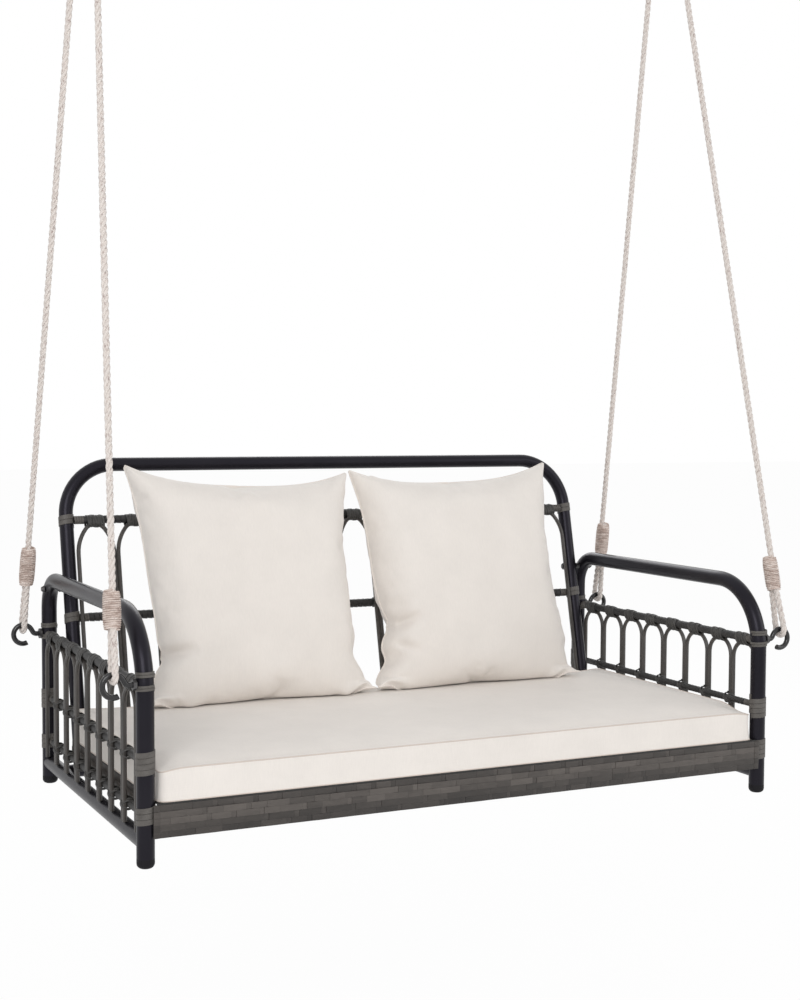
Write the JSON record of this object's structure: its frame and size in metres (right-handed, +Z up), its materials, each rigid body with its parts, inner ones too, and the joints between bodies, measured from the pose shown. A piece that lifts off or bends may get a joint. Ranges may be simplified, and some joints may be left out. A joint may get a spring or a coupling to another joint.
{
  "type": "garden swing",
  "caption": "Hanging garden swing bench with bent-tube arms and back filled with looped cane arches, hung on ropes from hooks on its legs, with a seat cushion and loose pillows.",
  "frame": {"origin": "middle of the swing axis: the line through the bottom wires of the two hang rings, midway between them", "axes": "+X to the right as one faces the swing's front, +Y towards its back, +Z up along the pull of the hangers"},
  "size_m": [1.389, 0.7219, 1.959],
  "materials": {
    "frame_paint": "satin black powder coat",
    "cane": "matte dark grey-brown, fine lengthways grain",
    "strip_weave": "matte dark grey-brown woven flat strip",
    "foot_plastic": "matte black",
    "hook_steel": "gloss black",
    "fastener_steel": "dull dark grey zinc",
    "ring_steel": "plain zinc",
    "rope_fibre": "laid off-white fibre with pale flecks",
    "seizing_twine": "fine beige twine",
    "cushion_cloth": "matte cream woven cloth"
  },
  "bodies": {
    "hanger": {"hang_ring_left": "ring_steel", "hang_ring_right": "ring_steel"},
    "bench": {"apron_rod": "frame_paint", "arm_arches_left": "cane", "arm_arches_right": "cane", "arm_lower_rail_left": "frame_paint", "arm_lower_rail_right": "frame_paint", "arm_middle_rail_left": "frame_paint", "arm_middle_rail_right": "frame_paint", "arm_tube_left": "frame_paint", "arm_tube_right": "frame_paint", "arm_upper_rail_left": "frame_paint", "arm_upper_rail_right": "frame_paint", "back_arches": "cane", "back_bolt_nuts": "fastener_steel", "back_bolt_spacers": "fastener_steel", "back_bolts": "fastener_steel", "back_bottom_rail": "frame_paint", "back_frame_tube": "frame_paint", "back_lower_rail": "frame_paint", "back_upper_rail": "frame_paint", "base_cross_tube": "frame_paint", "base_tube_left": "frame_paint", "base_tube_right": "frame_paint", "foot_caps": "foot_plastic", "front_apron": "strip_weave", "hook_front_left": "hook_steel", "hook_front_right": "hook_steel", "hook_nuts": "fastener_steel", "hook_rear_left": "hook_steel", "hook_rear_right": "hook_steel", "rope_left": "rope_fibre", "rope_right": "rope_fibre", "rope_seizings": "seizing_twine", "seat_bars": "frame_paint", "seat_deck": "strip_weave", "seat_front_tube": "frame_paint", "seat_rear_tube": "frame_paint", "side_apron_left": "strip_weave", "side_apron_right": "strip_weave"},
    "cushion": {"seat_cushion": "cushion_cloth"},
    "pillow_left": {"pillow_left": "cushion_cloth"},
    "pillow_right": {"pillow_right": "cushion_cloth"}
  },
  "joints": [
    {"name": "swing", "type": "hinge", "parent": "hanger", "child": "bench", "pos_m": [0, 0, 0], "axis": [1, 0, 0], "range_deg": [-25, 25]},
    {"name": "cushion_lift", "type": "slide", "parent": "bench", "child": "cushion", "axis": [0, 0, 1], "range_m": [0, 0.3]},
    {"name": "pillow_left_lift", "type": "slide", "parent": "cushion", "child": "pillow_left", "axis": [0, 0, 1], "range_m": [0, 0.3]},
    {"name": "pillow_right_lift", "type": "slide", "parent": "cushion", "child": "pillow_right", "axis": [0, 0, 1], "range_m": [0, 0.3]}
  ]
}
